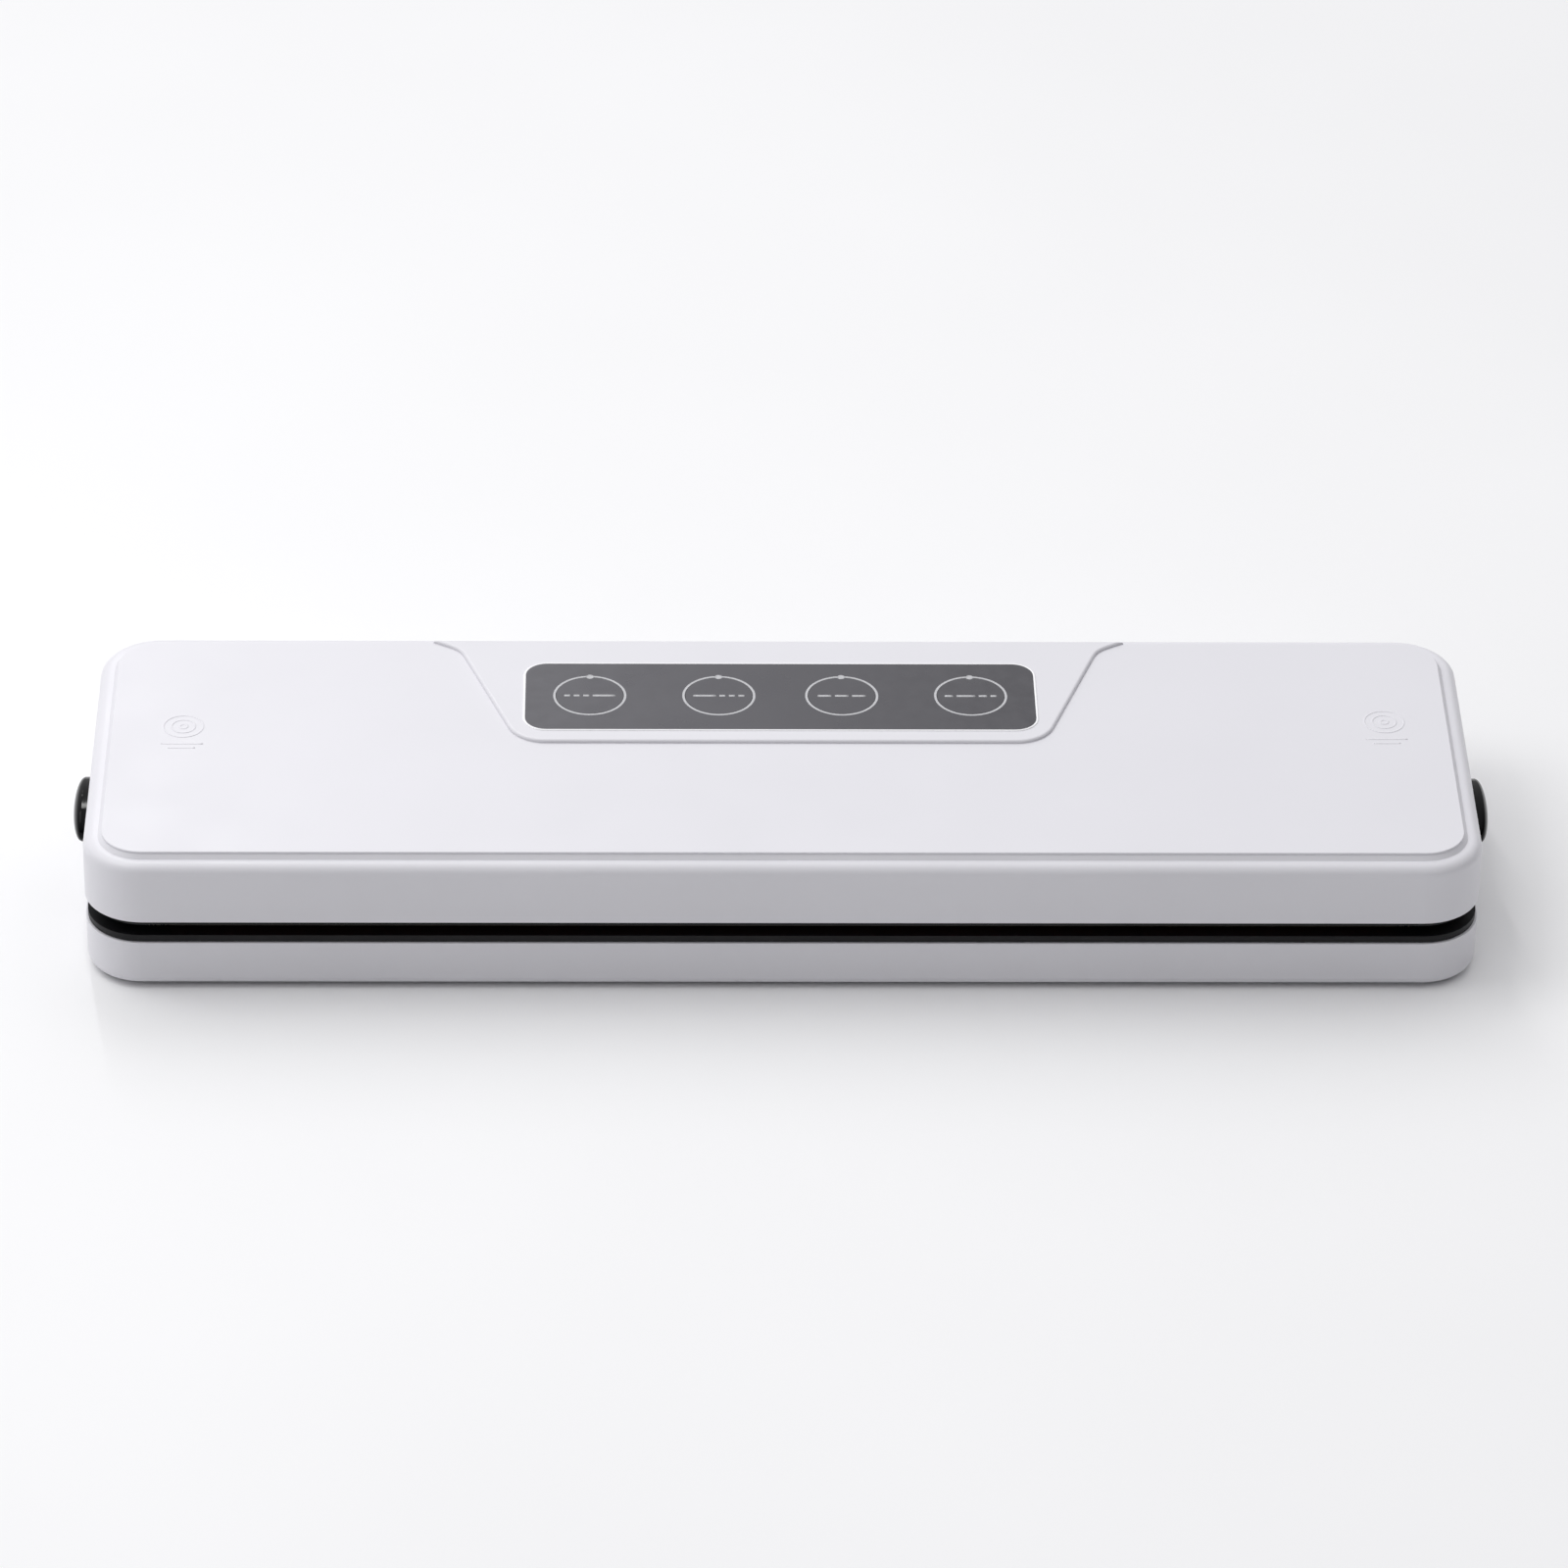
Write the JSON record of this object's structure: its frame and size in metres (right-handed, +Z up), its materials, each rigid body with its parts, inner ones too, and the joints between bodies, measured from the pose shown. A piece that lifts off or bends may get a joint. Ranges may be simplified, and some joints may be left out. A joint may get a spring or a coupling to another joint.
{
  "type": "vacuum sealer",
  "caption": "Slim countertop vacuum sealer: long white lid on a rear hinge, black gasket gap, rear control panel with ring keys, side release buttons.",
  "frame": {"origin": "middle of the footprint on the surface that the feet stand on", "axes": "+X along the bar to the right, -Y towards the front edge, +Z up"},
  "size_m": [0.3684, 0.1116, 0.0411],
  "materials": {
    "white_shell": "moulded, satin gloss",
    "black_moulding": "fine spark texture",
    "panel_film": "satin film",
    "light_guide": "frosted",
    "black_part": "moulded",
    "circuit_board": "solder mask",
    "black_gloss": "polished",
    "latch_resin": "natural acetal",
    "spring_steel": "drawn",
    "screw_steel": "zinc plated",
    "grey_rubber": "matte",
    "gasket_foam": "closed cell foam skin",
    "red_silicone": "matte silicone",
    "heater_base": "glass filled phenolic",
    "nichrome": "rolled",
    "ptfe": "woven, coated",
    "plated_brass": "tinned",
    "filter_foam": "open cell",
    "silicone_hose": "translucent",
    "motor_steel": "plated",
    "core_steel": "laminated",
    "winding_tape": "polyester tape",
    "capacitor_sleeve": "shrink sleeve",
    "wire_sleeve": "PVC insulation"
  },
  "bodies": {
    "base": {"accessory_port": "black_part", "base_deck": "black_moulding", "base_harness": "wire_sleeve", "base_tray": "white_shell", "bay_cover": "black_moulding", "capacitors": "capacitor_sleeve", "case_screws": "screw_steel", "feet": "grey_rubber", "heater_bar": "heater_base", "heater_ribbon": "nichrome", "heater_terminals": "plated_brass", "hinge_pin_left": "spring_steel", "hinge_pin_right": "spring_steel", "inlet_filter": "filter_foam", "inlet_pins": "plated_brass", "lower_gasket": "gasket_foam", "mains_inlet": "black_part", "power_board": "circuit_board", "ptfe_tape": "ptfe", "pump_cap": "black_part", "pump_cradle": "grey_rubber", "pump_diaphragm": "grey_rubber", "pump_head": "black_part", "pump_motor": "motor_steel", "pump_rod": "black_part", "reed_sensor": "black_part", "suction_hose": "silicone_hose", "transformer_core": "core_steel", "transformer_winding": "winding_tape", "vacuum_sensor": "black_part", "valve_coil": "winding_tape"},
    "lid": {"lid_cover": "white_shell", "lid_plate": "black_moulding", "control_overlay": "panel_film", "light_rings": "light_guide", "indicator_lenses": "light_guide", "tact_switches": "black_part", "indicator_leds": "light_guide", "control_pcb": "circuit_board", "pcb_cover": "black_moulding", "pcb_screws": "screw_steel", "lid_magnet": "motor_steel", "lid_harness": "wire_sleeve", "upper_gasket": "gasket_foam", "pressure_strip": "red_silicone", "lid_screws": "screw_steel"},
    "latch_left": {"release_button_left": "black_gloss", "latch_slider_left": "latch_resin", "latch_spring_left": "spring_steel"},
    "latch_right": {"release_button_right": "black_gloss", "latch_slider_right": "latch_resin", "latch_spring_right": "spring_steel"},
    "key_1": {"key_cap_1": "panel_film"},
    "key_2": {"key_cap_2": "panel_film"},
    "key_3": {"key_cap_3": "panel_film"},
    "key_4": {"key_cap_4": "panel_film"},
    "pump_rotor": {"pump_rotor": "motor_steel"},
    "valve_plunger": {"valve_plunger": "motor_steel"}
  },
  "joints": [
    {"name": "lid_hinge", "type": "hinge", "parent": "base", "child": "lid", "pos_m": [0, 0.0505, 0.0204], "axis": [-1, 0, 0], "range_deg": [0, 90]},
    {"name": "latch_left_press", "type": "slide", "parent": "lid", "child": "latch_left", "axis": [1, 0, 0], "range_m": [0, 0.0025], "stiffness_N_per_m": 600, "springref_m": -0.003, "deforming": ["latch_spring_left"]},
    {"name": "latch_right_press", "type": "slide", "parent": "lid", "child": "latch_right", "axis": [-1, 0, 0], "range_m": [0, 0.0025], "stiffness_N_per_m": 600, "springref_m": -0.003, "deforming": ["latch_spring_right"]},
    {"name": "key_1_press", "type": "slide", "parent": "lid", "child": "key_1", "axis": [0, 0, -1], "range_m": [0, 0.0004], "stiffness_N_per_m": 900, "springref_m": -0.0012},
    {"name": "key_2_press", "type": "slide", "parent": "lid", "child": "key_2", "axis": [0, 0, -1], "range_m": [0, 0.0004], "stiffness_N_per_m": 900, "springref_m": -0.0012},
    {"name": "key_3_press", "type": "slide", "parent": "lid", "child": "key_3", "axis": [0, 0, -1], "range_m": [0, 0.0004], "stiffness_N_per_m": 900, "springref_m": -0.0012},
    {"name": "key_4_press", "type": "slide", "parent": "lid", "child": "key_4", "axis": [0, 0, -1], "range_m": [0, 0.0004], "stiffness_N_per_m": 900, "springref_m": -0.0012},
    {"name": "pump_spin", "type": "hinge", "parent": "base", "child": "pump_rotor", "pos_m": [0.105, 0.026, 0.018], "axis": [1, 0, 0], "continuous": true},
    {"name": "valve_stroke", "type": "slide", "parent": "base", "child": "valve_plunger", "axis": [-1, 0, 0], "range_m": [0, 0.0012], "stiffness_N_per_m": 300, "springref_m": -0.002}
  ]
}
